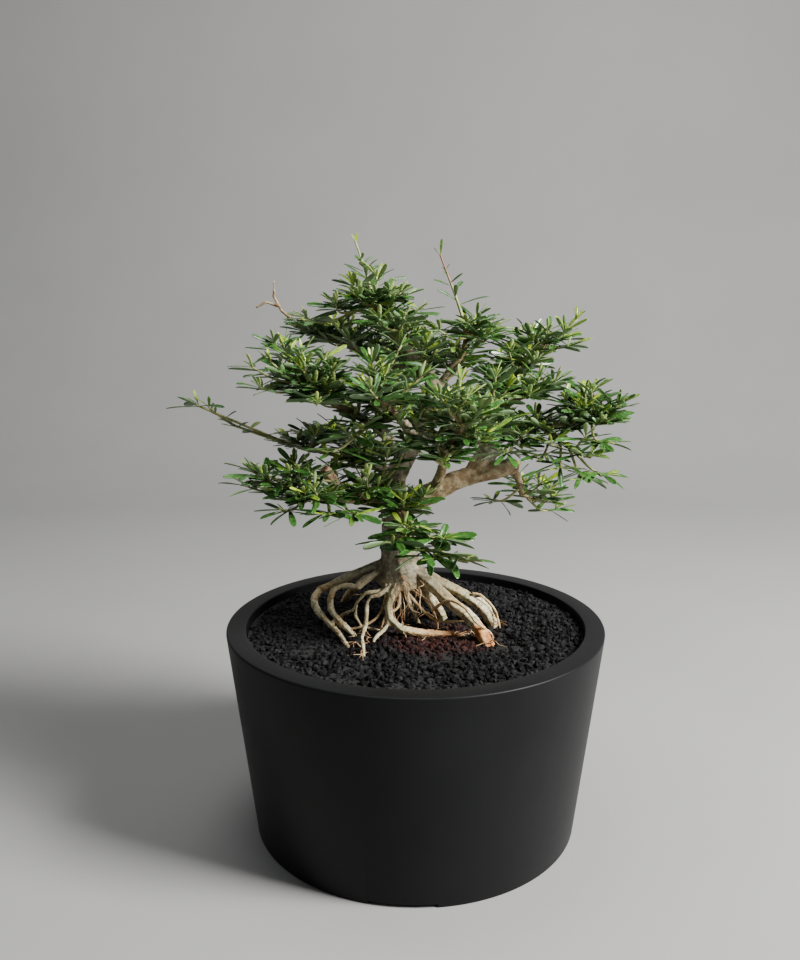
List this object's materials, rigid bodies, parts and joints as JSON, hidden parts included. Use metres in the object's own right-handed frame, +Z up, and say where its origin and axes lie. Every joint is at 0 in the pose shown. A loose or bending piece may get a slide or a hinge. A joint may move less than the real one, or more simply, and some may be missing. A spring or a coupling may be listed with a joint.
{
  "type": "bonsai tree in a pot",
  "caption": "Small bonsai with exposed arching roots and leafy shoots, planted in dark grains in a round tapered black pot.",
  "frame": {"origin": "middle of the pot's foot, on the surface that the pot stands on", "axes": "+Z up along the pot's axis, -Y towards the front, where the roots and the first drain channel face"},
  "size_m": [0.2255, 0.1998, 0.3085],
  "materials": {
    "pot": "satin black, unglazed look, slightly worn at the lip",
    "soil": "loose angular black lava grains, about 2 to 3 mm, damp and matt",
    "screen": "matt dark plastic mesh",
    "wood": "grey-brown bark with pale lichen, cream exposed roots",
    "foliage": "glossy dark green narrow leaves on thin green stems"
  },
  "bodies": {
    "root": {"drain_screen_1": "screen", "drain_screen_2": "screen", "drain_screen_3": "screen", "pot": "pot", "shoot_back_end": "foliage", "shoot_back_left": "foliage", "shoot_back_right": "foliage", "shoot_crown_back": "foliage", "shoot_crown_front": "foliage", "shoot_crown_left": "foliage", "shoot_crown_middle": "foliage", "shoot_crown_right": "foliage", "shoot_far_right_back": "foliage", "shoot_far_right_end": "foliage", "shoot_far_right_front": "foliage", "shoot_far_right_high": "foliage", "shoot_far_right_low": "foliage", "shoot_front_centre": "foliage", "shoot_front_end": "foliage", "shoot_front_high": "foliage", "shoot_front_right_end": "foliage", "shoot_front_right_high": "foliage", "shoot_front_right_low": "foliage", "shoot_front_right_side": "foliage", "shoot_hanging_end": "foliage", "shoot_high_back_end": "foliage", "shoot_high_back_right": "foliage", "shoot_high_left_back": "foliage", "shoot_high_left_end": "foliage", "shoot_high_left_front": "foliage", "shoot_leader_whip": "foliage", "shoot_long_left_back": "foliage", "shoot_long_left_end": "foliage", "shoot_long_left_front": "foliage", "shoot_long_left_inner": "foliage", "shoot_low_front_end": "foliage", "shoot_low_front_high": "foliage", "shoot_low_left_end": "foliage", "shoot_low_left_front": "foliage", "shoot_low_left_high": "foliage", "shoot_low_left_inner": "foliage", "shoot_low_right_end": "foliage", "shoot_middle_left_end": "foliage", "shoot_middle_left_front": "foliage", "shoot_middle_left_high": "foliage", "shoot_middle_left_inner": "foliage", "shoot_middle_left_top": "foliage", "shoot_middle_right_end": "foliage", "shoot_middle_right_front": "foliage", "shoot_right_whip": "foliage", "shoot_riser_back": "foliage", "shoot_riser_end": "foliage", "shoot_riser_front": "foliage", "shoot_riser_high": "foliage", "shoot_riser_low_back": "foliage", "shoot_riser_side": "foliage", "shoot_whip_back": "foliage", "shoot_whip_side": "foliage", "soil": "soil", "tree_wood": "wood"}
  },
  "joints": []
}
